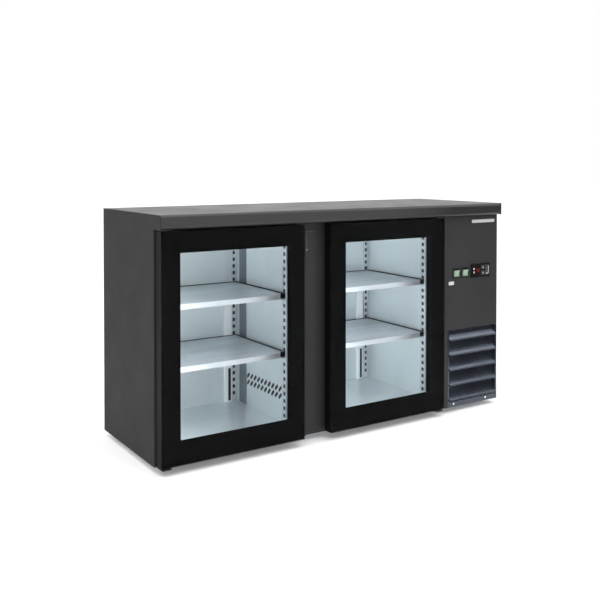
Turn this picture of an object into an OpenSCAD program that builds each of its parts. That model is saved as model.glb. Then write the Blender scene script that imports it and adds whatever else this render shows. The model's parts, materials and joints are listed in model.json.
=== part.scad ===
// Two-door under counter fridge with a side machine compartment.
// Frame: +Z up, doors face -Y, origin under the middle of the footprint.

/* [Cabinet] */
// Overall width
body_w = 1546; // [1400:1:1700]
// Depth of the case behind its front plane
body_d = 468; // [440:1:560]
// Height to the top of the worktop
body_h = 850; // [820:1:950]
// Thickness of the worktop
top_t = 48; // [38:1:60]
// How far the worktop stands in front of the case
top_overhang = 55; // [50:1:60]
// Radius of the worktop's front edge
top_nose_r = 12; // [8:1:16]
// Gap between the floor and the case
floor_gap = 20; // [16:1:40]
// Sheet thickness of the outer panels
skin_t = 1.5; // [1:0.1:2]
// Sheet thickness of the liner and shelves
liner_t = 1; // [0.8:0.1:1.2]
// Thickness of the insulated walls
wall_t = 44; // [40:1:50]
// Depth of the front frame
frame_d = 30; // [24:1:36]
// Step from the side panels' rear edge to the rear panel
rear_step = 12; // [11:1:16]

/* [Doors] */
// Width of each door
door_w = 553; // [520:1:560]
// Gap between the left side and the left door
door_inset = 4; // [3:0.5:6]
// Gap between the two doors
door_gap = 114; // [100:1:130]
// Bottom of the doors above the floor
door_z = 29; // [28:1:34]
// Gap between the doors and the worktop
door_top_gap = 5; // [4:1:8]
// Thickness of the outer pane
pane_t = 5; // [4:1:6]
// Side border around the window
window_side = 68; // [60:1:80]
// Border under the window
window_low = 83; // [70:1:90]
// Border over the window
window_high = 72; // [65:1:80]
// How far the printed border of the outer pane reaches over the frame's opening
print_over = 27; // [20:1:28]
// Distance of the hinge pin from the door's side
pivot_x = 14; // [12:1:18]
// Distance of the hinge pin from the door's front
pivot_y = 15; // [12:1:17]

/* [Interior] */
// Width of the centre air duct
duct_w = 150; // [130:1:160]
// Top face of the lower shelves
shelf_low_z = 326; // [300:1:340]
// Top face of the upper shelves
shelf_high_z = 540; // [500:1:560]
// Height of the shelves' front lip
shelf_lip = 18; // [14:1:22]
// Distance between slots in the shelf uprights
slot_pitch = 27; // [22:1:30]
// Vent slots in each row of the duct covers
vent_count = 11; // [6:1:11]

/* [Machine compartment] */
// Width of the machine panel
machine_w = 298; // [290:1:310]
// Width of the panel's strip beside the grille
strip_w = 19; // [16:1:22]
// How far the machine panel stands in front of the case
machine_step = 30; // [28:1:32]
// Top of the louvred grille
grille_z = 335; // [330:1:350]
// Number of louvres
louvre_count = 5; // [4:1:5]
// Distance between louvres
louvre_pitch = 61.5; // [56:0.5:62]
// Height of the lowest louvre's lip
louvre_z = 50; // [46:1:52]
// Height of the centre line of the controls
control_z = 568; // [540:1:600]
// Width and height of a rocker switch
rocker_s = 31; // [28:1:34]
// Tilt of a rocker to each side, in degrees
rocker_tilt = 8; // [5:1:9]

/* [Hidden] */
$fn = 48;

// Heights
case_top = body_h - top_t;
post_low = floor_gap + 39;
post_high = case_top - 29;
floor_z = post_low + liner_t;
ceiling_z = post_high - 8;

// Depths, measured back from the case's front plane
rear_out = body_d - rear_step;
rear_in = rear_out - 29;

// Widths, measured from the left side
machine_x = body_w - machine_w;
grille_x = machine_x + strip_w;
right_wall = grille_x - wall_t - 15;
machine_wall_out = right_wall + wall_t;
left_door_x = door_inset;
right_door_x = door_inset + door_w + door_gap;
door_mid = left_door_x + door_w + door_gap / 2;
duct_left = door_mid - duct_w / 2;
duct_right = door_mid + duct_w / 2;
post_over = 5;
upright_w = 30;
rear_upright_w = 22;
upright_t = 6;
upright_sheet = 1.2;
upright_front = 51;
upright_rear_in = 14;
slot_share = 0.5;
slot_h = 14;

// Door stack, front to back
door_h = case_top - door_top_gap - door_z;
door_front = top_overhang;
pane_gap = 0.6;
frame_front = door_front - pane_t - pane_gap;
door_back = 13;
gasket_gap = 1;
spacer_t = 16;
inner_pane_t = 4;
rebate = 12;
inner_pane_front = frame_front - spacer_t;
inner_pane_back = inner_pane_front - inner_pane_t;
open_side = window_side - print_over;
open_low = window_low - print_over;
open_high = window_high - print_over;
gasket_inset = 8;
gasket_w = 14;

// Hinges
pin_r = 4;
bore_r = 4.08;
pin_in = 14;
collar_r = 7;

// Clearances
shelf_side_gap = 8;
shelf_front = frame_d + 12;
shelf_rear = rear_in - 12;
clip_drop = 10;
seat_gap = 0.3;

// Controls
switch_x = grille_x + 46;
switch_pitch = 48.5;
controller_x = grille_x + 126;
controller_w = 107;
controller_h = 57;
controller_t = 4;
key_gap = 0.5;
panel_front = -machine_step;

// Fans
evap_fan_r = 52;
evap_fan_z = 590;
cond_fan_r = 95;
cond_x = grille_x + 132;
cond_z = 190;
cond_y = 62;

module place() translate([-body_w / 2, (top_overhang - body_d) / 2, 0]) children();

// A box from one corner to the opposite one
module span(low, high) translate(low) cube(high - low);

// A plate between two boxes' outlines, in the XZ plane
module ring_xz(x0, x1, z0, z1, left, right, low, high, y0, y1) {
    difference() {
        span([x0, y0, z0], [x1, y1, z1]);
        span([x0 + left, y0 - 1, z0 + low], [x1 - right, y1 + 1, z1 - high]);
    }
}

module rounded_bar(length, width) {
    square([length - width, width], center = true);
    for (side = [-1, 1])
        translate([side * (length - width) / 2, 0]) circle(d = width);
}

// ---- Case ----

module worktop() {
    depth = body_d + top_overhang;
    r = top_nose_r;
    place() color([0.17, 0.17, 0.18])
    translate([skin_t, body_d, case_top]) rotate([90, 0, 90]) linear_extrude(body_w - 2 * skin_t) {
        translate([-depth + r, 0]) square([depth - r, top_t]);
        translate([-depth, r]) square([r + 1, top_t - 2 * r]);
        for (z = [r, top_t - r]) translate([-depth + r, z]) circle(r = r);
    }
}

// A side sheet closes the end of the worktop too, in front of the case as well
module side_skin(x, inward) {
    flange = 18;
    translate([x, 0, 0]) rotate([90, 0, 90]) linear_extrude(skin_t)
        polygon([[0, floor_gap], [0, case_top], [-top_overhang, case_top], [-top_overhang, body_h],
                 [body_d, body_h], [body_d, floor_gap]]);
    y = body_d - skin_t;
    span([x + (inward > 0 ? 0 : -flange), y, floor_gap],
         [x + (inward > 0 ? flange : skin_t), y + skin_t, case_top]);
}

module left_side_panel() place() color([0.15, 0.15, 0.16]) side_skin(0, 1);

module right_side_panel() place() color([0.15, 0.15, 0.16]) side_skin(body_w - skin_t, -1);

module rear_panel() {
    vent_rows = 12;
    vent_w = 200;
    place() color([0.15, 0.15, 0.16])
    translate([0, rear_out, 0]) rotate([90, 0, 0]) linear_extrude(skin_t) difference() {
        translate([skin_t, floor_gap]) square([body_w - 2 * skin_t, case_top - floor_gap]);
        for (row = [0:vent_rows - 1])
            translate([grille_x + 140, floor_gap + 320 + row * 24]) rounded_bar(vent_w, 8);
        translate([grille_x + 60, floor_gap + 90]) circle(r = 10.2);
    }
}

module base_panel() {
    slots = 9;
    place() color([0.5, 0.52, 0.53]) difference() {
        span([skin_t, 0, floor_gap], [body_w - skin_t, rear_out - skin_t, floor_gap + skin_t]);
        for (i = [0:slots - 1])
            span([grille_x + 50 + i * 22, 90, floor_gap - 1],
                 [grille_x + 60 + i * 22, 170, floor_gap + 5]);
    }
}

module top_rail() place() color([0.16, 0.16, 0.17])
    span([skin_t, 0, post_high], [machine_wall_out, frame_d, case_top]);

module bottom_rail() place() color([0.16, 0.16, 0.17])
    span([skin_t, 0, floor_gap + skin_t], [machine_wall_out, frame_d, post_low]);

module left_jamb() place() color([0.16, 0.16, 0.17])
    span([skin_t, 0, post_low], [wall_t, frame_d, post_high]);

module right_jamb() place() color([0.16, 0.16, 0.17])
    span([right_wall - post_over, 0, post_low], [machine_wall_out, frame_d, post_high]);

module centre_post() {
    cover_half = 24;
    cover_t = 3;
    keeper_w = 28;
    keeper_z = case_top - 130;
    place() color([0.18, 0.18, 0.19]) {
        span([duct_left - post_over, 0, post_low], [duct_right + post_over, frame_d, post_high]);
        difference() {
            span([door_mid - cover_half, -cover_t, post_low + 1],
                 [door_mid + cover_half, 0, post_high - 1]);
            translate([door_mid - 2, -cover_t - 1, keeper_z]) rotate([-90, 0, 0])
                linear_extrude(cover_t - 0.5) rounded_bar(keeper_w, 10);
        }
    }
}

// ---- Insulation and liner ----

module slab(name_colour, low, high) place() color(name_colour) span(low, high);

foam = [0.86, 0.82, 0.62];
steel = [0.78, 0.81, 0.83];

module left_insulation()
    slab(foam, [skin_t, frame_d, floor_gap + skin_t], [wall_t - liner_t, rear_out - skin_t, case_top]);

module machine_wall_insulation()
    slab(foam, [right_wall + liner_t, frame_d, floor_gap + skin_t],
         [machine_wall_out, rear_out - skin_t, case_top]);

module rear_insulation()
    slab(foam, [wall_t - liner_t, rear_in + liner_t, post_low],
         [right_wall + liner_t, rear_out - skin_t, ceiling_z + liner_t]);

module floor_insulation()
    slab(foam, [wall_t - liner_t, frame_d, floor_gap + skin_t],
         [right_wall + liner_t, rear_out - skin_t, post_low]);

module ceiling_insulation()
    slab(foam, [wall_t - liner_t, frame_d, ceiling_z + liner_t],
         [right_wall + liner_t, rear_out - skin_t, case_top]);

module left_liner()
    slab(steel, [wall_t - liner_t, frame_d, floor_z], [wall_t, rear_in, ceiling_z]);

module right_liner()
    slab(steel, [right_wall, frame_d, floor_z], [right_wall + liner_t, rear_in, ceiling_z]);

module rear_liner()
    slab(steel, [wall_t - liner_t, rear_in, floor_z], [right_wall + liner_t, rear_in + liner_t, ceiling_z]);

module floor_liner()
    slab(steel, [wall_t - liner_t, frame_d, post_low],
         [right_wall + liner_t, rear_in + liner_t, floor_z]);

module ceiling_liner()
    slab(steel, [wall_t - liner_t, frame_d, ceiling_z],
         [right_wall + liner_t, rear_in + liner_t, ceiling_z + liner_t]);

// ---- Air duct between the compartments ----

module duct_cover(x) {
    row_z = [153, 180];
    vent_pitch = 26.5;
    translate([x, 0, 0]) rotate([90, 0, 90]) linear_extrude(liner_t) difference() {
        translate([frame_d, floor_z]) square([rear_in - frame_d, ceiling_z - floor_z]);
        for (z = row_z, i = [0:vent_count - 1])
            translate([90 + i * vent_pitch, z]) rotate(-45) rounded_bar(30, 12);
        for (i = [0:4])
            translate([(frame_d + rear_in) / 2, ceiling_z - 60 + i * 11]) rounded_bar(180, 5);
    }
}

module duct_covers() place() color([0.76, 0.79, 0.81]) {
    duct_cover(duct_left);
    duct_cover(duct_right - liner_t);
}

// Comb-shaped outline of a finned block, fins along the first axis
module fin_comb(length, height, pitch, fin) {
    count = floor(length / pitch);
    translate([0, height * 0.06]) square([length, height * 0.04]);
    translate([0, height * 0.90]) square([length, height * 0.04]);
    for (i = [0:count - 1]) translate([i * pitch, 0]) square([fin, height]);
}

module evaporator_coil() {
    length = 240;
    depth = 104;
    base_z = 260;
    height = 240;
    place() color([0.72, 0.74, 0.75])
    translate([door_mid - depth / 2, 110, base_z]) {
        rotate([90, 0, 90]) linear_extrude(depth) fin_comb(length, height, 8, 1.2);
        for (row = [0:4], side = [0, 1])
            translate([20 + side * 60, -8, 28 + row * 44]) rotate([-90, 0, 0])
                cylinder(r = 5, h = length + 16);
    }
}

module evaporator_fan_plate() place() color([0.6, 0.62, 0.64]) difference() {
    span([duct_left + liner_t + 0.5, frame_d + 1, evap_fan_z - 14],
         [duct_right - liner_t - 0.5, rear_in - 1, evap_fan_z - 12]);
    translate([door_mid, 230, evap_fan_z - 20]) cylinder(r = evap_fan_r + 5, h = 20);
}

module fan(radius, hub_r, hub_h, blades, chord) {
    cylinder(r = hub_r, h = hub_h, center = true);
    for (i = [0:blades - 1]) rotate([0, 0, i * 360 / blades])
        translate([hub_r - 1, 0, 0]) rotate([32, 0, 0])
            translate([0, -chord / 2, -0.8]) cube([radius - hub_r - 3, chord, 1.6]);
}

module evaporator_fan() place() color([0.12, 0.12, 0.13])
    translate([door_mid, 230, evap_fan_z]) fan(evap_fan_r, 17, 22, 5, 32);

module rear_channel(x) {
    channel_w = 30;
    channel_d = 10;
    channel_top = 510;
    sheet = 1.2;
    slot_w = 13;
    slot_x = x + 14;
    y = rear_in - channel_d;
    difference() {
        span([x, y, floor_z], [x + channel_w, rear_in, channel_top]);
        span([x + sheet, y + sheet, floor_z - 1], [x + channel_w - sheet, rear_in + 1, channel_top - sheet]);
        span([slot_x, y - 1, floor_z + 4], [slot_x + slot_w, y + 2, floor_z + 134]);
    }
}

module rear_channels() place() color([0.82, 0.84, 0.86]) {
    rear_channel(duct_left - 56);
    rear_channel(right_wall - 64);
}

// ---- Shelves ----

function bay_left(bay) = bay == 0 ? wall_t : duct_right;
function bay_right(bay) = bay == 0 ? duct_left : right_wall;

// A slotted channel on a wall: width along X, open towards the wall at Y = 0
module upright(width) {
    height = ceiling_z - floor_z - 4;
    count = floor((height - 40) / slot_pitch);
    inner = width / 2 - upright_sheet;
    slot_w = width * slot_share;
    translate([0, 0, floor_z + 2]) difference() {
        span([-width / 2, -upright_t, 0], [width / 2, 0, height]);
        span([-inner, upright_sheet - upright_t, -1], [inner, 1, height + 1]);
        for (i = [0:count]) translate([0, 0, 22 + i * slot_pitch])
            span([-slot_w / 2, -upright_t - 1, 0], [slot_w / 2, -1, slot_h]);
    }
}

module shelf_uprights() place() color([0.74, 0.76, 0.78])
    for (bay = [0, 1]) {
        left = bay_left(bay);
        right = bay_right(bay);
        translate([left, upright_front, 0]) rotate([0, 0, 90]) upright(upright_w);
        translate([right, upright_front, 0]) rotate([0, 0, -90]) upright(upright_w);
        for (x = [left + upright_rear_in, right - upright_rear_in])
            translate([x, rear_in, 0]) upright(rear_upright_w);
    }

module shelf(bay, top) {
    left = bay_left(bay) + shelf_side_gap;
    right = bay_right(bay) - shelf_side_gap;
    low = top - shelf_lip;
    place() color(steel) {
        span([left, shelf_front, top - liner_t], [right, shelf_rear, top]);
        span([left, shelf_front, low], [right, shelf_front + liner_t, top]);
        span([left, shelf_front, low], [right, shelf_front + 12, low + liner_t]);
        span([left, shelf_rear - liner_t, low], [right, shelf_rear, top]);
        span([left, shelf_front, low], [left + liner_t, shelf_rear, top]);
        span([right - liner_t, shelf_front, low], [right, shelf_rear, top]);
    }
}

module left_lower_shelf() shelf(0, shelf_low_z);
module left_upper_shelf() shelf(0, shelf_high_z);
module right_lower_shelf() shelf(1, shelf_low_z);
module right_upper_shelf() shelf(1, shelf_high_z);

// A clip hooks on an upright's front face, at Y = 0 here, and carries one corner of a shelf
module clip(top) {
    seat = top - shelf_lip - seat_gap;
    reach = 16;
    span([-8, -reach, seat - 3], [8, 0, seat]);
    span([-8, -2, seat - clip_drop - 6], [8, 0, seat]);
}

module shelf_clips() place() color([0.7, 0.72, 0.74])
    for (bay = [0, 1], top = [shelf_low_z, shelf_high_z]) {
        left = bay_left(bay);
        right = bay_right(bay);
        translate([left + upright_t, upright_front, 0]) rotate([0, 0, 90]) clip(top);
        translate([right - upright_t, upright_front, 0]) rotate([0, 0, -90]) clip(top);
        for (x = [left + upright_rear_in, right - upright_rear_in])
            translate([x, rear_in - upright_t, 0]) clip(top);
    }

// ---- Doors ----

module pin_and_plate(x, pin_x, low) {
    plate_w = 34;
    plate_t = 3;
    low_plate = floor_gap + 1.5;
    y = -door_front + pivot_y;
    if (low) {
        span([x, -door_front + 3, low_plate], [x + plate_w, 0, low_plate + plate_t]);
        translate([pin_x, y, low_plate]) cylinder(r = pin_r, h = door_z + pin_in - 2 - low_plate);
        translate([pin_x, y, low_plate]) cylinder(r = collar_r, h = door_z - 0.5 - low_plate);
    } else {
        span([x, -door_front + 3, case_top - plate_t], [x + plate_w, -3, case_top]);
        translate([pin_x, y, door_z + door_h - pin_in + 2])
            cylinder(r = pin_r, h = pin_in - 2 + door_top_gap - 1);
    }
}

module hinge_brackets() place() color([0.55, 0.56, 0.58])
    for (low = [true, false]) {
        pin_and_plate(left_door_x + 2, left_door_x + pivot_x, low);
        pin_and_plate(right_door_x + door_w - 36, right_door_x + door_w - pivot_x, low);
    }

module door_frame(x, hinge_left) {
    groove = 5;
    free_x = hinge_left ? x + door_w - groove : x;
    pin_x = hinge_left ? x + pivot_x : x + door_w - pivot_x;
    top = door_z + door_h;
    place() color([0.13, 0.13, 0.14]) difference() {
        ring_xz(x, x + door_w, door_z, top, open_side, open_side, open_low, open_high,
                -frame_front, -door_back);
        span([x + open_side - rebate, -frame_front - 1, door_z + open_low - rebate],
             [x + door_w - open_side + rebate, -inner_pane_back, top - open_high + rebate]);
        span([free_x - 1, -33, door_z + 30], [free_x + groove + 1, -19, top - 30]);
        translate([pin_x, -door_front + pivot_y, door_z - 1]) cylinder(r = bore_r, h = pin_in + 3);
        translate([pin_x, -door_front + pivot_y, top - pin_in]) cylinder(r = bore_r, h = pin_in + 1);
    }
}

module outer_glass(x) place() color([0.05, 0.05, 0.06])
    span([x, -door_front, door_z], [x + door_w, -door_front + pane_t, door_z + door_h]);

module inner_glass(x) {
    edge = rebate - 0.5;
    place() color([0.7, 0.8, 0.82, 0.4])
    span([x + open_side - edge, -inner_pane_front, door_z + open_low - edge],
         [x + door_w - open_side + edge, -inner_pane_back, door_z + door_h - open_high + edge]);
}

module door_spacer(x) {
    edge = rebate - 0.5;
    bar = rebate + 1;
    place() color([0.4, 0.42, 0.44])
    ring_xz(x + open_side - edge, x + door_w - open_side + edge,
            door_z + open_low - edge, door_z + door_h - open_high + edge,
            bar, bar, bar, bar, -frame_front, -inner_pane_front);
}

module door_gasket(x) {
    i = gasket_inset;
    place() color([0.06, 0.06, 0.06])
    ring_xz(x + i, x + door_w - i, door_z + i, door_z + door_h - i,
            gasket_w, gasket_w, gasket_w, gasket_w, -door_back, -gasket_gap);
}

module left_door_frame() door_frame(left_door_x, true);
module left_door_outer_glass() outer_glass(left_door_x);
module left_door_inner_glass() inner_glass(left_door_x);
module left_door_spacer() door_spacer(left_door_x);
module left_door_gasket() door_gasket(left_door_x);
module right_door_frame() door_frame(right_door_x, false);
module right_door_outer_glass() outer_glass(right_door_x);
module right_door_inner_glass() inner_glass(right_door_x);
module right_door_spacer() door_spacer(right_door_x);
module right_door_gasket() door_gasket(right_door_x);

// ---- Machine compartment, outside ----

module machine_panel() {
    x0 = machine_x;
    gap = 1;
    cut = rocker_s + 4;
    strip_x = grille_x - 0.5;
    place() color([0.17, 0.17, 0.18]) difference() {
        union() {
            span([x0, panel_front, grille_z + gap], [body_w, -gap, case_top - gap]);
            span([x0, panel_front, floor_gap + 0.5], [strip_x, -gap, grille_z + gap + 1]);
        }
        span([x0 + skin_t, panel_front + skin_t, grille_z - 1], [body_w - skin_t, 1, case_top - gap - skin_t]);
        span([x0 + skin_t, panel_front + skin_t, floor_gap - 1], [strip_x - skin_t, 1, grille_z]);
        for (i = [0, 1])
            span([switch_x + i * switch_pitch - cut / 2, panel_front - 1, control_z - cut / 2],
                 [switch_x + i * switch_pitch + cut / 2, panel_front + 5, control_z + cut / 2]);
        span([controller_x + 3.5, panel_front - 1, control_z - controller_h / 2 + 6.5],
             [controller_x + controller_w - 3.5, panel_front + 5, control_z + controller_h / 2 + 0.5]);
    }
}

// One louvre: a curved slat that rises towards the back from a rolled lip
module louvre_profile() {
    curve_r = 100;
    low_slope = 46;
    high_slope = 80;
    sheet = 1.6;
    lip_r = 2.6;
    steps = 8;
    slopes = [for (i = [0:steps]) low_slope + (high_slope - low_slope) * i / steps];
    arc = [for (a = slopes) curve_r * [sin(a) - sin(low_slope), cos(low_slope) - cos(a)]];
    under = [for (i = [steps:-1:0]) arc[i] + sheet * [sin(slopes[i]), -cos(slopes[i])]];
    translate([-machine_step - 5, 0]) {
        polygon(concat(arc, under));
        circle(r = lip_r);
    }
}

module louvre_grille() {
    x0 = grille_x;
    width = body_w - grille_x;
    cheek = 8;
    low = floor_gap + 0.5;
    flange_top = louvre_z - 8;
    place() color([0.2, 0.21, 0.24]) {
        for (x = [x0, body_w - cheek]) span([x, panel_front, low], [x + cheek, -1, grille_z]);
        span([x0, panel_front, grille_z - 2], [body_w, panel_front + 10, grille_z]);
        difference() {
            span([x0, panel_front, low], [body_w, panel_front + skin_t, flange_top]);
            for (x = [x0 + 31, x0 + 211]) translate([x, panel_front - 1, low + 13])
                rotate([-90, 0, 0]) cylinder(r = 2.6, h = 5);
        }
        span([x0, panel_front, low], [body_w, panel_front + 20, low + skin_t]);
        for (i = [0:louvre_count - 1])
            translate([x0 + cheek, 0, louvre_z + i * louvre_pitch]) rotate([90, 0, 90])
                linear_extrude(width - 2 * cheek) louvre_profile();
    }
}

module screw_head(x, z) translate([x, panel_front, z]) rotate([90, 0, 0]) {
    translate([0, 0, -8]) cylinder(r = 2.2, h = 9);
    difference() {
        cylinder(r = 4.6, h = 2.4);
        translate([0, 0, 1.2]) cylinder(r = 2, h = 2, $fn = 6);
    }
}

module grille_screws() place() color("silver")
    for (x = [31, 211]) screw_head(grille_x + x, floor_gap + 13.5);

module switch_bezels() {
    outer = rocker_s + 10;
    inner = rocker_s + 1;
    place() color([0.04, 0.04, 0.04])
    for (i = [0, 1]) translate([switch_x + i * switch_pitch, 0, control_z]) {
        difference() {
            union() {
                span([-outer / 2, panel_front - 2.5, -outer / 2], [outer / 2, panel_front, outer / 2]);
                span([-inner / 2 - 1.2, panel_front, -inner / 2 - 1.2],
                     [inner / 2 + 1.2, panel_front + 16, inner / 2 + 1.2]);
            }
            span([-inner / 2, panel_front - 4, -inner / 2], [inner / 2, panel_front + 14, inner / 2]);
        }
    }
}

// The rocker turns about a pin along X, and rests tilted to one side
module rocker(i) {
    half = rocker_s / 2 - 1;
    place() color([0.45, 0.78, 0.6])
    translate([switch_x + i * switch_pitch - half, panel_front + 2.5, control_z])
        rotate([rocker_tilt, 0, 0]) rotate([90, 0, 90]) linear_extrude(2 * half)
            polygon([[-8, half - 0.5], [-5, 0], [-8, -half + 0.5], [4, -half + 5], [4, half - 5]]);
}

module cooling_switch() rocker(0);
module light_switch() rocker(1);

// Key outlines, relative to the controller's lower left corner: x, z, width, height
up_place = [58, 31, 18, 18];
down_place = [58, 8, 18, 18];
set_place = [80, 8, 22, 41];

module controller_base() translate([controller_x, 0, control_z - controller_h / 2 + 3.5]) children();

module key_box(p, grow, y0, y1)
    span([p[0] - grow, y0, p[1] - grow], [p[0] + p[2] + grow, y1, p[1] + p[3] + grow]);

module thermostat_body() place() color([0.05, 0.05, 0.05]) controller_base() difference() {
    union() {
        span([0, panel_front - controller_t, 0], [controller_w, panel_front, controller_h]);
        span([4, panel_front, 4], [controller_w - 4, panel_front + 40, controller_h - 4]);
    }
    span([7, panel_front - controller_t - 1, 13], [54, panel_front - controller_t + 1.2, controller_h - 13]);
    for (p = [up_place, down_place, set_place])
        key_box(p, key_gap, panel_front - controller_t - 1, panel_front + 4);
}

module key(p) place() color([0.16, 0.16, 0.17]) controller_base()
    key_box(p, 0, panel_front - controller_t - 0.9, panel_front + 2.5);

module up_key() key(up_place);
module down_key() key(down_place);
module set_key() key(set_place);

module badge_plates() place() color([0.85, 0.85, 0.84]) {
    span([grille_x + 132, panel_front - 1, case_top - 32], [grille_x + 262, panel_front, case_top - 19]);
    span([grille_x + 4, panel_front - 0.6, control_z - 47], [grille_x + 32, panel_front, control_z - 33]);
}

// ---- Machine compartment, inside ----

module compressor() {
    r = 72;
    straight = 90;
    place() color([0.08, 0.08, 0.09])
    translate([grille_x + 120, 320, floor_gap + skin_t]) {
        span([-90, -70, 22], [90, 70, 25]);
        for (x = [-74, 74], y = [-55, 55]) translate([x, y, 0]) cylinder(r = 11, h = 22);
        translate([0, 0, 30]) {
            translate([0, 0, 20]) cylinder(r = r, h = straight);
            translate([0, 0, -5]) cylinder(r = r - 14, h = 30);
            translate([0, 0, straight + 20]) cylinder(r1 = r, r2 = r - 22, h = 26);
        }
        span([r - 6, -26, 60], [r + 34, 26, 112]);
    }
}

module condenser_coil() {
    length = 220;
    depth = 44;
    height = 240;
    place() color([0.6, 0.61, 0.62])
    translate([cond_x - length / 2, 8, cond_z - height / 2]) {
        translate([0, depth, 0]) rotate([90, 0, 0]) linear_extrude(depth) fin_comb(length, height, 7, 1);
        for (row = [0:5], y = [12, 32]) translate([-8, y, 22 + row * 39]) rotate([0, 90, 0])
            cylinder(r = 4.5, h = length + 16);
    }
}

module condenser_fan_plate() place() color([0.5, 0.52, 0.54]) difference() {
    union() {
        span([cond_x - 116, cond_y - 9, floor_gap + skin_t], [cond_x + 116, cond_y - 7, cond_z + 124]);
        translate([cond_x, cond_y - 9, cond_z]) rotate([-90, 0, 0]) cylinder(r = cond_fan_r + 6, h = 30);
    }
    translate([cond_x, cond_y - 20, cond_z]) rotate([-90, 0, 0]) cylinder(r = cond_fan_r + 4, h = 60);
}

module condenser_fan() place() color([0.12, 0.12, 0.13])
    translate([cond_x, cond_y + 10, cond_z]) rotate([90, 0, 0]) fan(cond_fan_r, 27, 24, 5, 30);

// A pipe made of straight runs with ball corners
module pipe(points, r) {
    for (i = [0:len(points) - 2]) {
        step = points[i + 1] - points[i];
        run = norm(step);
        translate(points[i]) rotate([0, acos(step[2] / run), atan2(step[1], step[0])])
            cylinder(r = r, h = run);
    }
    for (i = [1:len(points) - 2]) translate(points[i]) sphere(r = r);
}

module refrigerant_pipes() place() color([0.72, 0.45, 0.28]) {
    x = grille_x + 120;
    top = floor_gap + skin_t + 166;
    rise = cond_z + 158;
    pipe([[x - 20, 320, top], [x - 20, 320, rise], [x - 20, 28, rise],
          [x - 20, 28, cond_z + 120]], 4);
    pipe([[x + 20, 320, top], [x + 20, 320, rise + 40], [x + 20, 400, rise + 40],
          [machine_wall_out, 400, rise + 40]], 5);
}

module cord_gland() place() color([0.1, 0.1, 0.1])
    translate([grille_x + 60, rear_out, floor_gap + 90]) rotate([90, 0, 0]) difference() {
        union() {
            translate([0, 0, -10]) cylinder(r = 15, h = 10, $fn = 6);
            translate([0, 0, -1]) cylinder(r = 10, h = 18);
        }
        translate([0, 0, -20]) cylinder(r = 5, h = 50);
    }

module feet() {
    inset = 60;
    place() color([0.08, 0.08, 0.08])
    for (x = [inset, body_w - inset], y = [inset, body_d - inset - rear_step]) translate([x, y, 0]) {
        cylinder(r = 19, h = 9);
        cylinder(r = 12, h = floor_gap);
    }
}

worktop();
left_side_panel();
right_side_panel();
rear_panel();
base_panel();
top_rail();
bottom_rail();
left_jamb();
centre_post();
right_jamb();
left_insulation();
rear_insulation();
floor_insulation();
ceiling_insulation();
machine_wall_insulation();
left_liner();
rear_liner();
floor_liner();
ceiling_liner();
right_liner();
duct_covers();
evaporator_coil();
evaporator_fan_plate();
evaporator_fan();
rear_channels();
shelf_uprights();
shelf_clips();
left_lower_shelf();
left_upper_shelf();
right_lower_shelf();
right_upper_shelf();
hinge_brackets();
left_door_frame();
left_door_outer_glass();
left_door_inner_glass();
left_door_spacer();
left_door_gasket();
right_door_frame();
right_door_outer_glass();
right_door_inner_glass();
right_door_spacer();
right_door_gasket();
machine_panel();
louvre_grille();
grille_screws();
switch_bezels();
cooling_switch();
light_switch();
thermostat_body();
up_key();
down_key();
set_key();
badge_plates();
compressor();
condenser_coil();
condenser_fan_plate();
condenser_fan();
refrigerant_pipes();
cord_gland();
feet();
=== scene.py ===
import json
import math

import bpy
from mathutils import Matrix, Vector


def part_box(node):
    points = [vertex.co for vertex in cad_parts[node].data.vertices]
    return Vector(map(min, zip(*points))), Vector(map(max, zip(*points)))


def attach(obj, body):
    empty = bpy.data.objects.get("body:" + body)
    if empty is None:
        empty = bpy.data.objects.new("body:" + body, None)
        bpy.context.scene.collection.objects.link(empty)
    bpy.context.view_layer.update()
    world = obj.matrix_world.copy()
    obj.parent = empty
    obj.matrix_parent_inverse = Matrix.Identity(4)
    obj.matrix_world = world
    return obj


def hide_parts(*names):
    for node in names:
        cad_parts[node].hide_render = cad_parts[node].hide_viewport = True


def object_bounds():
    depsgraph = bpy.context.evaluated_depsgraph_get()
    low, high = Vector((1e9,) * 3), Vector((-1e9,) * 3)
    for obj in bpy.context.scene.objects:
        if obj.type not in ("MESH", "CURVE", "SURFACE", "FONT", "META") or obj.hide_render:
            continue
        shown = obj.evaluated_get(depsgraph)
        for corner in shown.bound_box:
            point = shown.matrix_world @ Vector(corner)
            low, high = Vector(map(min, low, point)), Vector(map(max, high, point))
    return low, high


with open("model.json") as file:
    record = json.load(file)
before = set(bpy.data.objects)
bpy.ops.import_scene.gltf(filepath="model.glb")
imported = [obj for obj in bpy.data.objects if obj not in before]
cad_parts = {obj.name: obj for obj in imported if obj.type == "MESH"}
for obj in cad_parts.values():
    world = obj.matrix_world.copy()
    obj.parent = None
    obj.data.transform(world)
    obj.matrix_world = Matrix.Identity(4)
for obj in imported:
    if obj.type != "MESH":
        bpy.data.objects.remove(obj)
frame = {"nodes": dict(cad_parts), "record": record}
cad_low, cad_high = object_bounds()

MM = 0.001
HAIR = 0.05 * MM        # keeps two faces out of one plane
PRINT_GAP = 0.02 * MM   # the same, behind flat plates and windows
CORNER_STEPS = 5        # segments in each rounded corner of an outline


# ---------------------------------------------------------------- node helpers

TEXTURE_RANGE = (0.3, 0.7)   # where most of a noise texture's values lie


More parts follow.
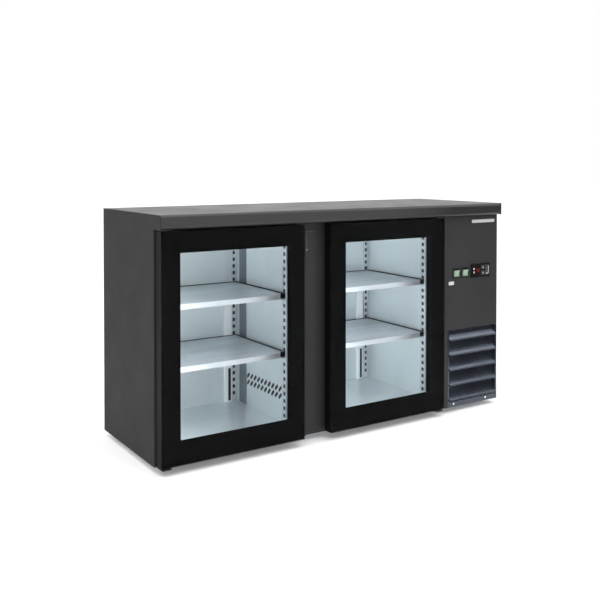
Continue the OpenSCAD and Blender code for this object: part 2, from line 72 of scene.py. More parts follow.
class Shader:
    """One procedural material: a Principled shader and the textures that feed it."""

    def __init__(self, name):
        self.material = bpy.data.materials.new(name)
        self.material.use_nodes = True
        self.nodes = self.material.node_tree.nodes
        self.links = self.material.node_tree.links
        self.bsdf = next(n for n in self.nodes if n.type == "BSDF_PRINCIPLED")
        self.coords = self.nodes.new("ShaderNodeTexCoord").outputs["Object"]

    def set(self, **values):
        for key, value in values.items():
            self.bsdf.inputs[key.replace("_", " ")].default_value = value
        return self

    def stretched(self, scale):
        mapping = self.nodes.new("ShaderNodeMapping")
        mapping.inputs["Scale"].default_value = scale
        self.links.new(self.coords, mapping.inputs["Vector"])
        return mapping.outputs["Vector"]

    def noise(self, scale, detail, stretch=None, roughness=0.55):
        texture = self.nodes.new("ShaderNodeTexNoise")
        texture.inputs["Scale"].default_value = scale
        texture.inputs["Detail"].default_value = detail
        texture.inputs["Roughness"].default_value = roughness
        vector = self.stretched(stretch) if stretch else self.coords
        self.links.new(vector, texture.inputs["Vector"])
        return texture.outputs["Fac"]

    def from_middle(self):
        """0 at the middle of the piece's front outline, 0.5 at its edges."""
        generated = self.nodes.new("ShaderNodeTexCoord").outputs["Generated"]
        centred = self.nodes.new("ShaderNodeVectorMath")
        centred.operation = "SUBTRACT"
        centred.inputs[1].default_value = (0.5, 0.5, 0.5)
        size = self.nodes.new("ShaderNodeVectorMath")
        size.operation = "ABSOLUTE"
        parts = self.nodes.new("ShaderNodeSeparateXYZ")
        widest = self.nodes.new("ShaderNodeMath")
        widest.operation = "MAXIMUM"
        self.links.new(generated, centred.inputs[0])
        self.links.new(centred.outputs["Vector"], size.inputs[0])
        self.links.new(size.outputs["Vector"], parts.inputs["Vector"])
        self.links.new(parts.outputs["X"], widest.inputs[0])
        self.links.new(parts.outputs["Z"], widest.inputs[1])
        return widest.outputs["Value"]

    def cells(self, scale):
        """Distance to the nearest of scattered points."""
        texture = self.nodes.new("ShaderNodeTexVoronoi")
        texture.inputs["Scale"].default_value = scale
        self.links.new(self.coords, texture.inputs["Vector"])
        return texture.outputs["Distance"]

    def spread(self, source, low, high):
        """Maps the middle of a texture's range to low..high."""
        node = self.nodes.new("ShaderNodeMapRange")
        node.inputs["From Min"].default_value = TEXTURE_RANGE[0]
        node.inputs["From Max"].default_value = TEXTURE_RANGE[1]
        node.inputs["To Min"].default_value = low
        node.inputs["To Max"].default_value = high
        self.links.new(source, node.inputs["Value"])
        return node.outputs["Result"]

    def colour(self, source, dark, light, socket="Base Color"):
        """Blends two colours by the middle of a texture's range."""
        ramp = self.nodes.new("ShaderNodeValToRGB")
        ramp.color_ramp.elements[0].position = TEXTURE_RANGE[0]
        ramp.color_ramp.elements[0].color = (*dark, 1)
        ramp.color_ramp.elements[1].position = TEXTURE_RANGE[1]
        ramp.color_ramp.elements[1].color = (*light, 1)
        self.links.new(source, ramp.inputs["Fac"])
        self.links.new(ramp.outputs["Color"], self.bsdf.inputs[socket])
        return self

    def rough(self, source, low, high):
        """Varies the gloss between two roughnesses."""
        self.links.new(self.spread(source, low, high), self.bsdf.inputs["Roughness"])
        return self

    def bump(self, source, height, strength):
        """Adds relief, on top of any relief the material already has."""
        node = self.nodes.new("ShaderNodeBump")
        node.inputs["Distance"].default_value = height
        node.inputs["Strength"].default_value = strength
        self.links.new(source, node.inputs["Height"])
        previous = self.bsdf.inputs["Normal"].links
        if previous:
            self.links.new(previous[0].from_socket, node.inputs["Normal"])
        self.links.new(node.outputs["Normal"], self.bsdf.inputs["Normal"])
        return self


def shade(rgb, factor):
    """A lighter or darker tone of one colour."""
    return tuple(c * factor for c in rgb)


# ---------------------------------------------------------------- materials

UPRIGHT_GRAIN = (60, 60, 1)
WIDE_GRAIN = (1, 60, 60)
NO_GRAIN = (1, 1, 1)


def coated_steel(name, rgb, roughness, peel=0.00008, shine=0.5, tint=(1, 1, 1)):
    """Powder-coated sheet: fine orange peel, faint handling marks in the gloss."""
    s = Shader(name).set(Specular_IOR_Level=shine, Specular_Tint=(*tint, 1))
    s.colour(s.noise(3.0, 5), shade(rgb, 0.9), shade(rgb, 1.1))
    s.rough(s.noise(9.0, 6), roughness - 0.05, roughness + 0.06)
    s.bump(s.noise(900.0, 2), peel, 0.35)
    return s.bump(s.noise(60.0, 3), peel, 0.15).material


def brushed_steel(name, rgb, roughness, along=WIDE_GRAIN, metal=0.85, streak=0.1):
    """Stainless sheet with a fine grain along one axis and soft cloudy streaks."""
    s = Shader(name).set(Metallic=metal, Anisotropic=0.35)
    grain = s.noise(28.0, 6, along, 0.7)
    cloud = s.noise(4.0, 4, tuple(1 + a / 20 for a in along))
    s.colour(cloud, shade(rgb, 1 - streak), shade(rgb, 1 + streak / 2))
    s.rough(grain, roughness - 0.06, roughness + 0.08)
    return s.bump(grain, 0.00006, 0.35).material


def moulded(name, rgb, roughness, grain=700.0, glow=None, strength=0.0):
    """Moulded plastic with a fine spark-eroded grain."""
    s = Shader(name)
    s.colour(s.noise(20.0, 3), shade(rgb, 0.92), shade(rgb, 1.08))
    s.rough(s.noise(45.0, 4), roughness - 0.05, roughness + 0.06)
    if glow:
        s.colour(s.noise(90.0, 2), shade(glow, 0.85), glow, "Emission Color")
        s.set(Emission_Strength=strength)
    return s.bump(s.noise(grain, 2), 0.00005, 0.3).material


def foam_material():
    """Cut polyurethane foam with open cells."""
    s = Shader("polyurethane_foam")
    s.colour(s.noise(12.0, 6), (0.62, 0.53, 0.28), (0.80, 0.72, 0.46))
    s.rough(s.noise(30.0, 3), 0.8, 0.95)
    return s.bump(s.cells(600.0), 0.0005, 0.6).material


def galvanised_material():
    """Zinc-coated sheet with its spangle."""
    s = Shader("galvanised_sheet").set(Metallic=0.9)
    s.colour(s.cells(70.0), (0.36, 0.38, 0.40), (0.55, 0.57, 0.59))
    s.rough(s.cells(70.0), 0.32, 0.5)
    return s.bump(s.noise(300.0, 2), 0.00003, 0.3).material


def glass_material(tint):
    """Clear pane with weak reflections and faint wiping marks in the gloss."""
    s = Shader("pane_glass").set(IOR=1.06, Transmission_Weight=1.0)
    s.colour(s.noise(2.0, 2), shade(tint, 0.99), tint)
    s.rough(s.noise(7.0, 5, (1, 1, 0.35)), 0.0, 0.018)
    return s.material


def frit_and_shade_material():
    """Black enamel printed on glass, other matt black trim, and the painted shadow inside the centre
    post's keeper.
    """
    s = Shader("black_enamel_and_shade").set(Specular_IOR_Level=0.02)
    s.colour(s.noise(40.0, 3), (0.0022, 0.0022, 0.0025), (0.0036, 0.0036, 0.004))
    s.rough(s.noise(60.0, 3), 0.3, 0.42)
    return s.bump(s.noise(800.0, 2), 0.00002, 0.2).material


def rocker_material():
    """Translucent green rocker, lit from behind its middle."""
    s = Shader("rocker_green").set(Emission_Strength=0.3)
    middle = s.from_middle()
    s.colour(middle, (0.14, 0.20, 0.15), (0.006, 0.04, 0.016))
    s.colour(middle, (0.46, 0.62, 0.48), (0.0, 0.03, 0.01), "Emission Color")
    s.rough(s.noise(45.0, 4), 0.16, 0.28)
    return s.bump(s.noise(400.0, 2), 0.00005, 0.3).material


def rubber_material():
    """Black extruded rubber."""
    s = Shader("gasket_rubber").set(Specular_IOR_Level=0.3)
    s.colour(s.noise(25.0, 4), (0.006, 0.006, 0.006), (0.014, 0.014, 0.014))
    s.rough(s.noise(80.0, 3), 0.6, 0.78)
    return s.bump(s.noise(500.0, 2), 0.0001, 0.4).material


def copper_material():
    """Copper tube, dulled in patches."""
    s = Shader("copper_tube").set(Metallic=1.0)
    s.colour(s.noise(14.0, 6), (0.42, 0.20, 0.11), (0.80, 0.43, 0.27))
    s.rough(s.noise(22.0, 4), 0.24, 0.48)
    return s.bump(s.noise(260.0, 2), 0.00005, 0.3).material


def aluminium_fins():
    """Thin bare aluminium sheet."""
    s = Shader("fin_aluminium").set(Metallic=0.95)
    s.colour(s.noise(18.0, 5), (0.58, 0.60, 0.62), (0.78, 0.80, 0.82))
    s.rough(s.noise(35.0, 4), 0.3, 0.5)
    return s.bump(s.noise(220.0, 3), 0.0001, 0.4).material


def floor_material():
    """Pale matt floor that glows a little."""
    s = Shader("studio_floor")
    s.colour(s.noise(0.8, 3), (0.93, 0.93, 0.93), (0.95, 0.95, 0.95))
    s.rough(s.noise(2.0, 3), 0.85, 0.95)
    s.colour(s.noise(0.8, 3), (0.97, 0.97, 0.97), (1, 1, 1), "Emission Color")
    return s.set(Emission_Strength=0.1).material


ANTHRACITE = (0.027, 0.027, 0.028)

MATERIALS = {
    "case_paint": coated_steel("case_paint", ANTHRACITE, 0.48, shine=0.2),
    "worktop_paint": coated_steel("worktop_paint", (0.0185, 0.0185, 0.0195), 0.36, shine=0.4),
    "galvanised_steel": galvanised_material(),
    "foam": foam_material(),
    "liner_steel": brushed_steel("liner_steel", (0.72, 0.77, 0.79), 0.34, UPRIGHT_GRAIN, 0.5, 0.05),
    "shelf_steel": brushed_steel("shelf_steel", (0.66, 0.70, 0.74), 0.36, WIDE_GRAIN, 0.4, 0.2),
    # near-white and barely metallic, so the rear channels show as bright strips: painted highlight
    "channel_steel": brushed_steel("channel_steel", (0.94, 0.96, 0.98), 0.3, UPRIGHT_GRAIN, 0.1, 0.03),
    "fin_aluminium": aluminium_fins(),
    "fan_plastic": moulded("fan_plastic", (0.02, 0.02, 0.021), 0.42),
    "hinge_steel": brushed_steel("hinge_steel", (0.03, 0.03, 0.032), 0.5, metal=0.5),
    "door_profile": coated_steel("door_profile", (0.0045, 0.0045, 0.005), 0.5, shine=0.06),
    "pane_glass": glass_material((0.985, 0.995, 0.995)),
    "spacer_aluminium": brushed_steel("spacer_aluminium", (0.28, 0.29, 0.31), 0.4),
    "gasket_rubber": rubber_material(),
    "grille_paint": coated_steel("grille_paint", (0.011, 0.013, 0.019), 0.25, shine=1.0,
                                 tint=(0.8, 0.87, 1)),
    "screw_steel": brushed_steel("screw_steel", (0.78, 0.78, 0.80), 0.25, NO_GRAIN, 1.0),
    "bezel_plastic": moulded("bezel_plastic", (0.006, 0.006, 0.006), 0.35),
    "rocker_green": rocker_material(),
    "controller_plastic": moulded("controller_plastic", (0.007, 0.007, 0.008), 0.2),
    "key_plastic": moulded("key_plastic", (0.035, 0.035, 0.037), 0.45),
    "plate_white": moulded("plate_white", (0.55, 0.55, 0.55), 0.4),
    "compressor_paint": coated_steel("compressor_paint", (0.01, 0.01, 0.011), 0.22),
    "copper": copper_material(),
    "gland_plastic": moulded("gland_plastic", (0.012, 0.012, 0.012), 0.5),
    "foot_plastic": moulded("foot_plastic", (0.015, 0.015, 0.015), 0.6),
}
# a lighter, rougher copy of the case paint for the side panels: painted light, for the light that falls
# on the sides
CASE_PAINT_LIT_SIDE = coated_steel("case_paint_lit_side", shade(ANTHRACITE, 1.22), 0.6, shine=0.05)
# dull dark steel for the pin on the centre post, and for the duct corner strip, which is painted shade
DULL_STEEL_AND_SHADE = brushed_steel("dull_steel_and_shade", (0.20, 0.235, 0.26), 0.4, UPRIGHT_GRAIN, 0.5, 0.12)
# light grey strips on the centre post's cover: painted highlight; a deep relief keeps this thin edging
# dull
POST_HIGHLIGHT = coated_steel("post_painted_highlight", (0.075, 0.076, 0.078), 0.5, peel=0.1, shine=0.3)
FRIT_AND_SHADE = frit_and_shade_material()
PRINT_GREY = moulded("print_grey", (0.42, 0.43, 0.43), 0.45)
BADGE_SILVER = brushed_steel("badge_silver", (0.62, 0.62, 0.63), 0.4, (60, 1, 1), 0.4)
DISPLAY_SMOKE = moulded("display_smoke", (0.012, 0.004, 0.004), 0.12)
LENS_GRAIN = 400.0
DIGIT_RED = moulded("digit_red", (0.16, 0.02, 0.02), 0.3, LENS_GRAIN, (0.45, 0.06, 0.05), 0.2)
MARK_AMBER = moulded("mark_amber", (0.50, 0.47, 0.42), 0.3, LENS_GRAIN, (0.50, 0.47, 0.44), 0.15)
LAMP_WHITE = moulded("lamp_white", (0.85, 0.88, 0.90), 0.35, LENS_GRAIN, (0.90, 0.96, 1.0), 1.0)


# ---------------------------------------------------------------- CAD nodes

EDGE_RADII = {   # millimetres, on the nodes whose edges show
    "worktop": 2.0, "louvre_grille": 0.5, "left_side_panel": 0.6, "right_side_panel": 0.6,
    "machine_panel": 1.0, "thermostat_body": 1.2, "switch_bezels": 1.0, "cooling_switch": 1.2,
    "light_switch": 1.2, "up_key": 0.8, "down_key": 0.8, "set_key": 0.8, "left_door_frame": 1.2,
    "right_door_frame": 1.2, "left_door_outer_glass": 0.8, "right_door_outer_glass": 0.8,
    "hinge_brackets": 0.6, "compressor": 3.0, "feet": 1.5,
}
WELD_WITHIN = 0.00001
FLAT_WITHIN, SHARP_FROM = math.radians(1), math.radians(35)


def dress_nodes():
    """Every CAD node gets its slot's material, except the side panels, which get a lighter copy of the
    case paint as painted light; some get softened edges.
    """
    for part in frame["record"]["subparts"]:
        name = part["node"]
        node = frame["nodes"][name]
        node.data.materials.clear()
        # the side panels take the lighter copy of the case paint: painted light
        material = CASE_PAINT_LIT_SIDE if name.endswith("side_panel") else MATERIALS[part["material_slot"]]
        node.data.materials.append(material)
        if name in EDGE_RADII:
            soften(node, EDGE_RADII[name] * MM)


def soften(obj, width, segments=3):
    """Rounds the sharp edges, after joining the flat faces' triangles."""
    weld = obj.modifiers.new("weld", "WELD")
    weld.merge_threshold = WELD_WITHIN
    flat = obj.modifiers.new("flat", "DECIMATE")
    flat.decimate_type = "DISSOLVE"
    flat.angle_limit = FLAT_WITHIN
    bevel = obj.modifiers.new("bevel", "BEVEL")
    bevel.width = width
    bevel.segments = segments
    bevel.limit_method = "ANGLE"
    bevel.angle_limit = SHARP_FROM
    bevel.harden_normals = True


# ---------------------------------------------------------------- mesh helpers

def make_piece(name, vertices, faces, material, body):
    """A mesh with one material that rides on a body."""
    mesh = bpy.data.meshes.new(name)
    mesh.from_pydata([tuple(v) for v in vertices], [], faces)
    mesh.validate()
    mesh.update()
    piece = bpy.data.objects.new(name, mesh)
    bpy.context.scene.collection.objects.link(piece)
    mesh.materials.append(material)
    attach(piece, body)
    return piece


def ring_sweep(name, low, high, profile, material, body):
    """Sweeps a closed profile of (inward, y) points round a rectangle in the XZ plane."""
    vertices = []
    for right, top in ((0, 0), (1, 0), (1, 1), (0, 1)):
        for inward, y in profile:
            x = high.x - inward if right else low.x + inward
            z = high.z - inward if top else low.z + inward
            vertices.append((x, y, z))
    n = len(profile)
    faces = []
    for corner in range(4):
        here, there = corner * n, (corner + 1) % 4 * n
        for i in range(n):
            j = (i + 1) % n
            faces.append((here + i, here + j, there + j, there + i))
    return make_piece(name, vertices, faces, material, body)


def block(name, low, high, material, body):
    """A plain box between two opposite corners."""
    outline = [(low[0], low[2]), (high[0], low[2]), (high[0], high[2]), (low[0], high[2])]
    return prism(name, outline, low[1], high[1], material, body)


def prism(name, outline, y_front, y_back, material, body):
    """A plate whose (x, z) outline runs anticlockwise as seen from the front."""
    n = len(outline)
    vertices = [(x, y, z) for y in (y_front, y_back) for x, z in outline]
    faces = [tuple(range(n)), tuple(range(2 * n - 1, n - 1, -1))]
    faces += [(i, n + i, n + (i + 1) % n, (i + 1) % n) for i in range(n)]
    return make_piece(name, vertices, faces, material, body)


def rounded_outline(x0, x1, z0, z1, r):
    """A rectangle's (x, z) outline with rounded corners, anticlockwise from the lower right."""
    points = []
    corners = ((x1 - r, z0 + r, -90), (x1 - r, z1 - r, 0), (x0 + r, z1 - r, 90), (x0 + r, z0 + r, 180))
    for cx, cz, start in corners:
        for i in range(CORNER_STEPS + 1):
            a = math.radians(start + 90 * i / CORNER_STEPS)
            points.append((cx + r * math.cos(a), cz + r * math.sin(a)))
    return points


# ---------------------------------------------------------------- doors

BORDER_SIDE, BORDER_LOW, BORDER_HIGH = 68 * MM, 83 * MM, 72 * MM
BORDER_INSET = 1.2 * MM
SEAL_WIDTH = 14.0
SEAL_HALF = (   # (inward in millimetres, share of the depth), from the door to the case
    (0.0, 0.0), (0.0, 0.15), (1.5, 0.2), (1.0, 0.35), (0.0, 0.45), (0.3, 0.58), (1.6, 0.66),
    (0.8, 0.8), (1.2, 0.94), (2.6, 1.0),
)


def door_border(side):
    """The black enamel border on the inner face of the outer pane."""
    low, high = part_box(f"{side}_door_outer_glass")
    y_front, y_back = high.y + HAIR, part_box(f"{side}_door_frame")[0].y - HAIR
    outer = (low.x + BORDER_INSET, high.x - BORDER_INSET, low.z + BORDER_INSET, high.z - BORDER_INSET)
    window = (low.x + BORDER_SIDE, high.x - BORDER_SIDE, low.z + BORDER_LOW, high.z - BORDER_HIGH)
    loops = []
    for y in (y_front, y_back):
        for x0, x1, z0, z1 in (outer, window):
            loops.append([(x0, y, z0), (x1, y, z0), (x1, y, z1), (x0, y, z1)])
    faces = []
    front_outer, front_inner, back_outer, back_inner = 0, 4, 8, 12
    walls = ((front_outer, front_inner), (front_inner, back_inner),
             (back_inner, back_outer), (back_outer, front_outer))
    for i in range(4):
        j = (i + 1) % 4
        for a, b in walls:
            faces.append((a + i, a + j, b + j, b + i))
    make_piece(f"{side}_door_border", sum(loops, []), faces, FRIT_AND_SHADE, f"{side}_door")


def door_gasket(side):
    """Magnetic gasket with a fixing dart, bellows and a flat sealing face."""
    low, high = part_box(f"{side}_door_gasket")
    depth = high.y - low.y
    profile = [(u * MM, low.y + v * depth) for u, v in SEAL_HALF]
    profile += [((SEAL_WIDTH - u) * MM, low.y + v * depth) for u, v in reversed(SEAL_HALF)]
    piece = ring_sweep(f"{side}_door_seal", low, high, profile, MATERIALS["gasket_rubber"],
                       f"{side}_door")
    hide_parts(f"{side}_door_gasket")


# ---------------------------------------------------------------- controls

DIGITS = ("fgbc", "abged")   # the lit segments of a four and a two
DIGIT_PITCH, DIGIT_WIDTH, DIGIT_HEIGHT, DIGIT_BAR = 12, 8 * MM, 16 * MM, 1.8 * MM
DIGITS_FROM = 29
PANE_DEPTH = 1.2 * MM        # how far the thermostat's display lies behind its rim
KEY_RELIEF = 0.25 * MM


def digit_bars(x, z, width, height, bar):
    """Each segment's low x, low z, high x and high z, by its usual letter."""
    mid = z + height / 2
    return {
        "a": (x, z + height - bar, x + width, z + height),
        "b": (x + width - bar, mid, x + width, z + height),
        "c": (x + width - bar, z, x + width, mid),
        "d": (x, z, x + width, z + bar),
        "e": (x, z, x + bar, mid),
        "f": (x, mid, x + bar, z + height),
        "g": (x, mid - bar / 2, x + width, mid + bar / 2),
    }


def thermostat_face():
    """A dark window with two lit digits and two indicator marks."""
    low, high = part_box("thermostat_body")
    recess = low.y + PANE_DEPTH
    centre_z = (low.z + high.z) / 2
    window = rounded_outline(low.x + 8 * MM, low.x + 53 * MM, low.z + 14 * MM, high.z - 14 * MM, 2 * MM)
    prism("thermostat_window", window, recess - 0.8 * MM, recess - PRINT_GAP, DISPLAY_SMOKE,
          "cabinet")
    lit_front, lit_back = recess - 1.1 * MM, recess - 0.79 * MM
    for i, letters in enumerate(DIGITS):
        x = low.x + (DIGITS_FROM + DIGIT_PITCH * i) * MM
        bars = digit_bars(x, centre_z - 8 * MM, DIGIT_WIDTH, DIGIT_HEIGHT, DIGIT_BAR)
        for letter in letters:
            x0, z0, x1, z1 = bars[letter]
            outline = [(x0, z0), (x1, z0), (x1, z1), (x0, z1)]
            prism(f"digit_{i}_{letter}", outline, lit_front, lit_back, DIGIT_RED,
                  "cabinet")
    for i, up in enumerate((-1, 1)):
        z = centre_z + up * 7 * MM
        mark = rounded_outline(low.x + 13 * MM, low.x + 20 * MM, z - 3.5 * MM, z + 3.5 * MM, 1.5 * MM)
        prism(f"indicator_{i}", mark, lit_front, lit_back, MARK_AMBER, "cabinet")


def arrow_mark(name, up):
    """A raised triangle that points up (1) or down (-1)."""
    low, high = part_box(f"{name}_key")
    cx, cz = (low.x + high.x) / 2, (low.z + high.z) / 2
    tip, base, half = cz + up * 3.5 * MM, cz - up * 2.5 * MM, 3.5 * MM
    outline = [(cx - half, base), (cx + half, base), (cx, tip)]
    if up < 0:
        outline.reverse()
    prism(f"{name}_key_mark", outline, low.y - KEY_RELIEF, low.y + 0.1 * MM, PRINT_GREY,
          f"{name}_button")


def hook_mark():
    """A raised stroke that runs down the set key's right side and turns left at the foot."""
    low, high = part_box("set_key")
    r, wide, steps = 8 * MM, 3.2 * MM, 8
    x1, z0 = high.x - 2.5 * MM, low.z + 4 * MM
    outer = [(x1, high.z - 5 * MM)]
    inner = [(x1 - wide, high.z - 5 * MM)]
    for i in range(steps + 1):
        a = math.radians(-90 * i / steps)
        outer.append((x1 - r + r * math.cos(a), z0 + r + r * math.sin(a)))
        inner.append((x1 - r + (r - wide) * math.cos(a), z0 + r + (r - wide) * math.sin(a)))
    outer.append((low.x + 2.5 * MM, z0))
    inner.append((low.x + 2.5 * MM, z0 + wide))
    n = len(outer)
    y_front, y_back = low.y - KEY_RELIEF, low.y + 0.1 * MM
    vertices = [(x, y, z) for y in (y_front, y_back) for x, z in outer + inner]
    faces = []
    for i in range(n - 1):
        faces.append((i + 1, i, n + i, n + i + 1))
        faces.append((2 * n + i, 2 * n + i + 1, 3 * n + i + 1, 3 * n + i))
        faces.append((i, i + 1, 2 * n + i + 1, 2 * n + i))
        faces.append((n + i + 1, n + i, 3 * n + i, 3 * n + i + 1))
    faces += [(0, 2 * n, 3 * n, n), (n - 1, 2 * n - 1, 4 * n - 1, 3 * n - 1)]
    make_piece("set_key_mark", vertices, faces, PRINT_GREY, "set_button")


def plates():
    """A blank badge and a blank label on the machine panel."""
    low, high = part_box("badge_plates")
    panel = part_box("machine_panel")[0].y
    outline = rounded_outline(high.x - 130 * MM, high.x, high.z - 13 * MM, high.z, 3 * MM)
    badge = prism("badge", outline, panel - 1 * MM, panel - PRINT_GAP, BADGE_SILVER,
                  "cabinet")
    soften(badge, 0.4 * MM, 2)
    outline = rounded_outline(low.x, low.x + 28 * MM, low.z, low.z + 14 * MM, 1.5 * MM)
    prism("label", outline, panel - 0.5 * MM, panel - PRINT_GAP, MATERIALS["plate_white"],
          "cabinet")
    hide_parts("badge_plates")


# ---------------------------------------------------------------- interior lamps

BAY_WATTS = (2.6, 3.4)
BAY_WHITE = (0.94, 0.98, 1.0)
BAY_TURN = -35   # degrees, from straight back towards the right


def bay_lamps():
    """A vertical lamp strip behind the front frame, at the left of each bay."""
    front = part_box("left_jamb")[1].y
    floor_top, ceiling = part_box("floor_liner")[1].z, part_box("ceiling_liner")[0].z
    z0, z1 = floor_top + 10 * MM, ceiling - 10 * MM
    for i, wall in enumerate((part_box("left_liner")[1].x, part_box("duct_covers")[1].x)):
        strip = rounded_outline(wall + 1 * MM, wall + 13 * MM, z0, z1, 3 * MM)
        prism(f"bay_lamp_{i}", strip, front + 0.3 * MM, front + 4 * MM, LAMP_WHITE,
              "cabinet")
        light = bpy.data.lights.new(f"bay_light_{i}", "AREA")
        light.shape = "RECTANGLE"
        light.size, light.size_y = 12 * MM, z1 - z0
        light.energy = BAY_WATTS[i]
        light.color = BAY_WHITE
        lamp = bpy.data.objects.new(f"bay_light_{i}", light)
        lamp.location = (wall + 12 * MM, front - 18 * MM, (z0 + z1) / 2)
        lamp.rotation_euler = (math.radians(90), 0, math.radians(BAY_TURN))
        lamp.visible_camera = False
        lamp.visible_transmission = False
        bpy.context.scene.collection.objects.link(lamp)


# ---------------------------------------------------------------- duct and shelf details

def vent_painted_shades():
    """Black sheets behind the low vents of both duct covers: painted shade, so the vents look dark."""
    low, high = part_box("duct_covers")
    sheet, screen = 1.1 * MM, 3 * MM
    sides = (("left", low.x + sheet, low.x + screen), ("right", high.x - screen, high.x - sheet))
    for name, x0, x1 in sides:
        block(f"{name}_vent_painted_shade", (x0, low.y + 40 * MM, low.z + 68 * MM),
              (x1, high.y - 50 * MM, low.z + 140 * MM), MATERIALS["gland_plastic"],
              "cabinet")


def duct_corner():
    """A dull dark steel strip over the joint between the duct cover and the rear wall: painted shade in
    that corner.
    """
    covers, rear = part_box("duct_covers"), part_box("rear_liner")[0].y
    z0, z1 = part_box("floor_liner")[1].z + 1 * MM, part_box("ceiling_liner")[0].z - 1 * MM
    x = covers[0].x
    block("duct_corner_painted_shade", (x - 1.1 * MM, rear - 84 * MM, z0), (x - 0.1 * MM, rear - 28 * MM, z1),
          DULL_STEEL_AND_SHADE, "cabinet")


def post_catch():
    """Light strips along the centre post cover's left and top edges as painted highlight, a pin on the
    cover, and a black plate in its keeper recess as painted shadow.
    """
    low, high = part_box("centre_post")
    middle, face = (low.x + high.x) / 2, low.y
    left, top = middle - 20 * MM, high.z - 2 * MM
    front, back = face - 0.6 * MM, face - HAIR
    # light strips along the cover's left and top edges: painted highlight
    block("cover_highlight_side", (left, front, top - 64 * MM), (left + 3.5 * MM, back, top - 3.5 * MM),
          POST_HIGHLIGHT, "cabinet")
    block("cover_highlight_top", (left, front, top - 3 * MM), (left + 36 * MM, back, top),
          POST_HIGHLIGHT, "cabinet")
    pin_z, pin_r = top - 69 * MM, 3.5 * MM
    pin = rounded_outline(left - 1 * MM, left + 6 * MM, pin_z - pin_r, pin_z + pin_r, pin_r)
    prism("cover_pin", pin, face - 1.8 * MM, back, DULL_STEEL_AND_SHADE, "cabinet")
    keeper_x, keeper_z = middle - 2 * MM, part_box("worktop")[0].z - 130 * MM
    inside = rounded_outline(keeper_x - 13.5 * MM, keeper_x + 13.5 * MM, keeper_z - 4.5 * MM,
                             keeper_z + 4.5 * MM, 4.4 * MM)
    # a black plate deep in the keeper recess: painted shadow
    prism("keeper_painted_shadow", inside, face + 1.6 * MM, face + 2.4 * MM, FRIT_AND_SHADE, "cabinet")


def breaker_strips():
    """Black plastic strips between the front frame's posts and the liner."""
    posts = [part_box(name) for name in ("left_jamb", "centre_post", "right_jamb")]
    back = posts[0][1].y
    faces = ((posts[0][1].x, 1), (posts[1][0].x, -1), (posts[1][1].x, 1), (posts[2][0].x, -1))
    for i, (face, inward) in enumerate(faces):
        x0, x1 = sorted((face + inward * HAIR, face + inward * 0.8 * MM))
        block(f"breaker_strip_{i}", (x0, back - 29.5 * MM, posts[0][0].z + 1 * MM),
              (x1, back - 0.5 * MM, posts[0][1].z - 1 * MM), FRIT_AND_SHADE, "cabinet")


def upright_painted_shades():
    """Black strips inside the slotted uprights and the rear channels, seen through their slots: painted
    shade.
    """
    low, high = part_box("shelf_uprights")
    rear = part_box("rear_liner")[0].y
    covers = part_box("duct_covers")
    black = MATERIALS["gland_plastic"]
    walls = (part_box("left_liner")[1].x, covers[0].x, covers[1].x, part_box("right_liner")[0].x)
    z0, z1 = low.z + 2 * MM, high.z - 2 * MM
    for i, wall in enumerate(walls):
        inward = 1 if i % 2 == 0 else -1
        x0, x1 = sorted((wall + inward * 3.4 * MM, wall + inward * 4.4 * MM))
        block(f"front_upright_back_{i}", (x0, low.y + 3 * MM, z0), (x1, low.y + 27 * MM, z1),
              black, "cabinet")
        middle = wall + inward * 14 * MM
        block(f"rear_upright_back_{i}", (middle - 9 * MM, rear - 4.4 * MM, z0),
              (middle + 9 * MM, rear - 3.4 * MM, z1), black, "cabinet")
    low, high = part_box("rear_channels")
    for i, x in enumerate((low.x, high.x - 30 * MM)):
        block(f"rear_channel_back_{i}", (x + 3 * MM, rear - 7.5 * MM, low.z + 2 * MM),
              (x + 27 * MM, rear - 6.5 * MM, high.z - 3 * MM), black, "cabinet")


def shelf_trims(side, level):
    """Black edging along the rear and the sides of a shelf, with a cap at each front corner."""
    low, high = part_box(f"{side}_{level}_shelf")
    black, body = MATERIALS["gland_plastic"], f"{side}_{level}_tray"
    top = high.z + HAIR
    front, back = low.y + 16 * MM, high.y - 0.5 * MM
    strips = {"left": (low.x + 0.5 * MM, low.x + 2.5 * MM, front, back),
              "right": (high.x - 2.5 * MM, high.x - 0.5 * MM, front, back),
              "rear": (low.x + 2.6 * MM, high.x - 2.6 * MM, back - 2 * MM, back)}
    for edge, (x0, x1, y0, y1) in strips.items():
        height = 2.5 * MM if edge == "rear" else 4 * MM
        block(f"{side}_{level}_{edge}_trim", (x0, y0, top), (x1, y1, top + height), black,
              body)
    for end, x0, x1 in (("left", low.x, low.x + 20 * MM), ("right", high.x - 20 * MM, high.x)):
        cap = block(f"{side}_{level}_{end}_cap", (x0, low.y - 1.5 * MM, high.z - 15 * MM),
                    (x1, low.y - 0.1 * MM, high.z + 4 * MM), black, body)
        soften(cap, 0.5 * MM, 2)


# ---------------------------------------------------------------- studio

FLOOR_HALF = 30.0
WHITE, COOL = (1, 1, 1), (0.78, 0.87, 1.0)
SOFTBOXES = (   # name, place, width, watts, colour
    ("overhead", (-0.6, -0.8, 4.2), 4.5, 110.0, WHITE),
    ("front_left", (-3.4, -3.6, 2.6), 2.5, 4.0, WHITE),
    ("right_top", (3.7, -2.4, 4.2), 2.6, 45.0, COOL),
)
AIM = Vector((0, 0, 0.4))


def bare_object(name, data):
    """A floor, screen, light or camera, which isn't part of the fridge."""
    thing = bpy.data.objects.new(name, data)
    bpy.context.scene.collection.objects.link(thing)
    return thing


def quad(name, corners, material):
    """One flat face for the studio."""
    mesh = bpy.data.meshes.new(name)
    mesh.from_pydata(corners, [], [(0, 1, 2, 3)])
    mesh.materials.append(material)
    return bare_object(name, mesh)


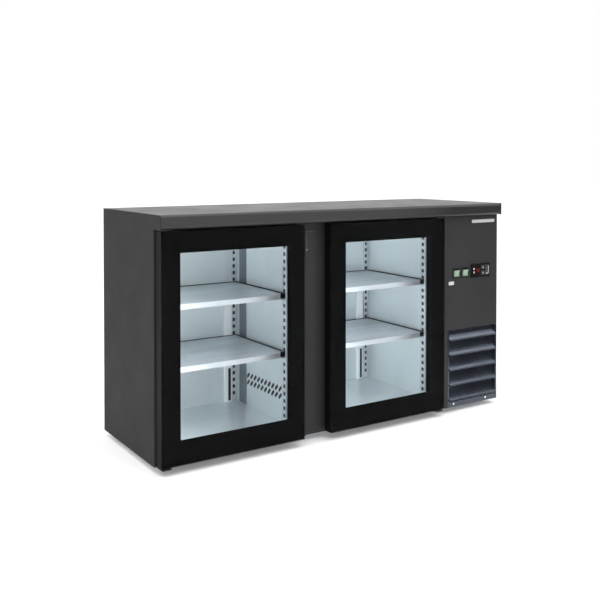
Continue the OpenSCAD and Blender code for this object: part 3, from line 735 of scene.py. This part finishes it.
def backdrop():
    """White surroundings and a wide pale floor."""
    scene = bpy.context.scene
    scene.view_settings.view_transform = "Standard"
    world = bpy.data.worlds.new("studio")
    world.use_nodes = True
    background = world.node_tree.nodes["Background"]
    background.inputs["Color"].default_value = (1, 1, 1, 1)
    background.inputs["Strength"].default_value = 1.0
    scene.world = world
    corners = [(x * FLOOR_HALF, y * FLOOR_HALF, 0) for x, y in ((-1, -1), (1, -1), (1, 1), (-1, 1))]
    quad("floor", corners, floor_material())


def softboxes():
    """Large soft lights around the fridge, hidden from the camera."""
    for name, place, width, watts, colour in SOFTBOXES:
        light = bpy.data.lights.new(name, "AREA")
        light.size = width
        light.energy = watts
        light.color = colour
        lamp = bare_object(name, light)
        lamp.location = place
        lamp.rotation_euler = (AIM - lamp.location).to_track_quat("-Z", "Y").to_euler()
        lamp.visible_camera = False


def flag():
    """A dark screen in front of the machine panel, at the right, that only its gloss reflects."""
    low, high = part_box("machine_panel")
    front = low.y - 0.56
    corners = [(high.x + dx, front, z) for dx, z in ((0.1, 0), (1.3, 0), (1.3, 1.0), (0.1, 1.0))]
    screen = quad("flag", corners, MATERIALS["gasket_rubber"])
    for ray in ("camera", "diffuse", "shadow", "transmission", "volume_scatter"):
        setattr(screen, f"visible_{ray}", False)


def sky():
    """A broad weak light from above."""
    sun = bpy.data.lights.new("sky", "SUN")
    sun.energy = 0.5
    sun.angle = math.radians(120)
    bare_object("sky", sun).rotation_euler = (math.radians(25), math.radians(10), 0)


EYE = (-1.080, -2.533, 1.018)   # from the case's left front corner at the floor
LENS, SHIFT = 50.04, -0.202
YAW, PITCH = math.radians(33.07), math.radians(-1.08)


def camera():
    """A 50 mm lens, shifted down, off the case's left front corner."""
    case_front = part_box("top_rail")[0].y
    data = bpy.data.cameras.new("camera")
    data.lens = LENS
    data.shift_y = SHIFT
    cam = bare_object("camera", data)
    cam.location = (cad_low[0] + EYE[0], case_front + EYE[1], EYE[2])
    look = Vector((math.sin(YAW) * math.cos(PITCH), math.cos(YAW) * math.cos(PITCH), math.sin(PITCH)))
    cam.rotation_euler = look.to_track_quat("-Z", "Y").to_euler()
    bpy.context.scene.camera = cam


camera()
backdrop()
softboxes()
flag()
sky()
dress_nodes()
for side in ("left", "right"):
    door_border(side)
    door_gasket(side)
    for level in ("lower", "upper"):
        shelf_trims(side, level)
thermostat_face()
for name, up in (("up", 1), ("down", -1)):
    arrow_mark(name, up)
hook_mark()
plates()
bay_lamps()
vent_painted_shades()
duct_corner()
breaker_strips()
post_catch()
upright_painted_shades()
